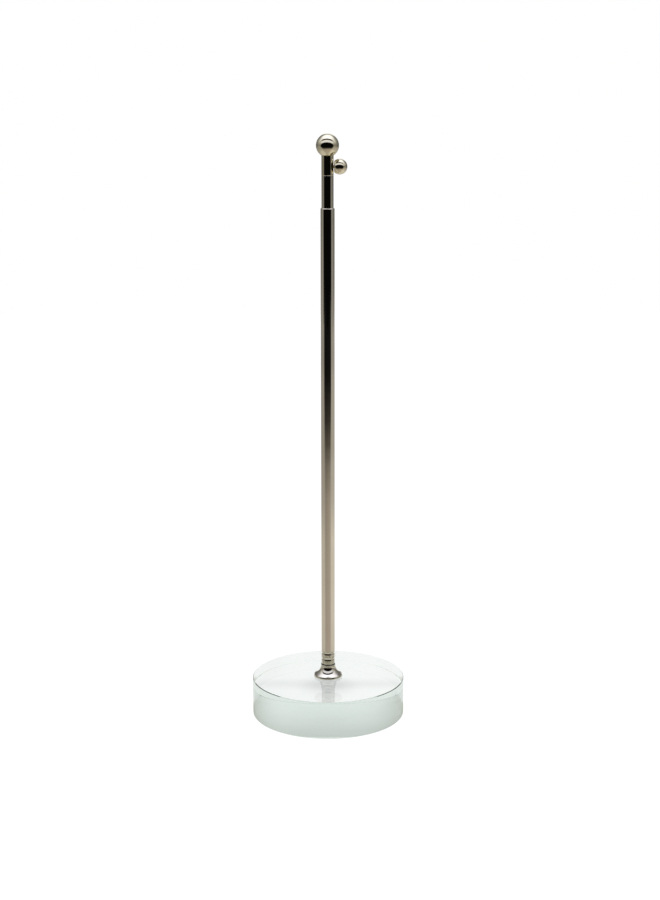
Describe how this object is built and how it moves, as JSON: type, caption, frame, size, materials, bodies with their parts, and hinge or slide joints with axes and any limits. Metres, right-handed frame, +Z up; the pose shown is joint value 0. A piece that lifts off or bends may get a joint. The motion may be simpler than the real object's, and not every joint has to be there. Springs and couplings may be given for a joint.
{
  "type": "desk flag stand",
  "caption": "Telescopic nickel-plated flag pole with a ball finial and a ball-headed loop screw, standing on a round clear glass base by a bell-shaped flange.",
  "frame": {"origin": "centre of the glass base's underside, on the pole's axis", "axes": "+Z up along the pole, +X towards the ball-headed loop screw, -Y the side seen from the front"},
  "size_m": [0.08, 0.08, 0.301],
  "materials": {
    "clear_glass": "polished, faintly green",
    "clear_adhesive": "clear cured adhesive",
    "nickel_plate": "mirror-polished nickel plate",
    "warm_nickel": "mirror-polished nickel plate, slightly golden",
    "dark_washer": "matt black",
    "turned_brass": "as turned",
    "spring_bronze": "cold-rolled strip",
    "plain_steel": "plain machined"
  },
  "bodies": {
    "base": {"glass_base": "clear_glass", "bond_layer": "clear_adhesive", "base_flange": "nickel_plate", "seat_washer": "dark_washer", "foot_plug": "turned_brass", "outer_tube": "nickel_plate"},
    "slider": {"spring_sleeve": "spring_bronze"},
    "inner_pole": {"stop_plug": "turned_brass", "inner_tube": "nickel_plate", "finial_cap": "warm_nickel", "finial_stud": "plain_steel", "finial_ball": "warm_nickel"},
    "screw_pin": {"loop_screw": "warm_nickel"},
    "screw_head": {"loop_ball": "warm_nickel"}
  },
  "joints": [
    {"name": "pole_draw", "type": "slide", "parent": "base", "child": "slider", "axis": [0, 0, 1], "range_m": [-0.0158, 0.2]},
    {"name": "pole_turn", "type": "hinge", "parent": "slider", "child": "inner_pole", "pos_m": [0, 0, 0.057], "axis": [0, 0, 1], "continuous": true},
    {"name": "loop_screw_travel", "type": "slide", "parent": "inner_pole", "child": "screw_pin", "axis": [1, 0, 0], "range_m": [-0.00021, 0.0007]},
    {"name": "loop_screw_turn", "type": "hinge", "parent": "screw_pin", "child": "screw_head", "pos_m": [0.00595, 0, 0.2852], "axis": [1, 0, 0], "range_deg": [-216, 720]}
  ],
  "couplings": [
    {"joint": "loop_screw_turn", "follows": "loop_screw_travel", "rad_per_m": 17952}
  ]
}
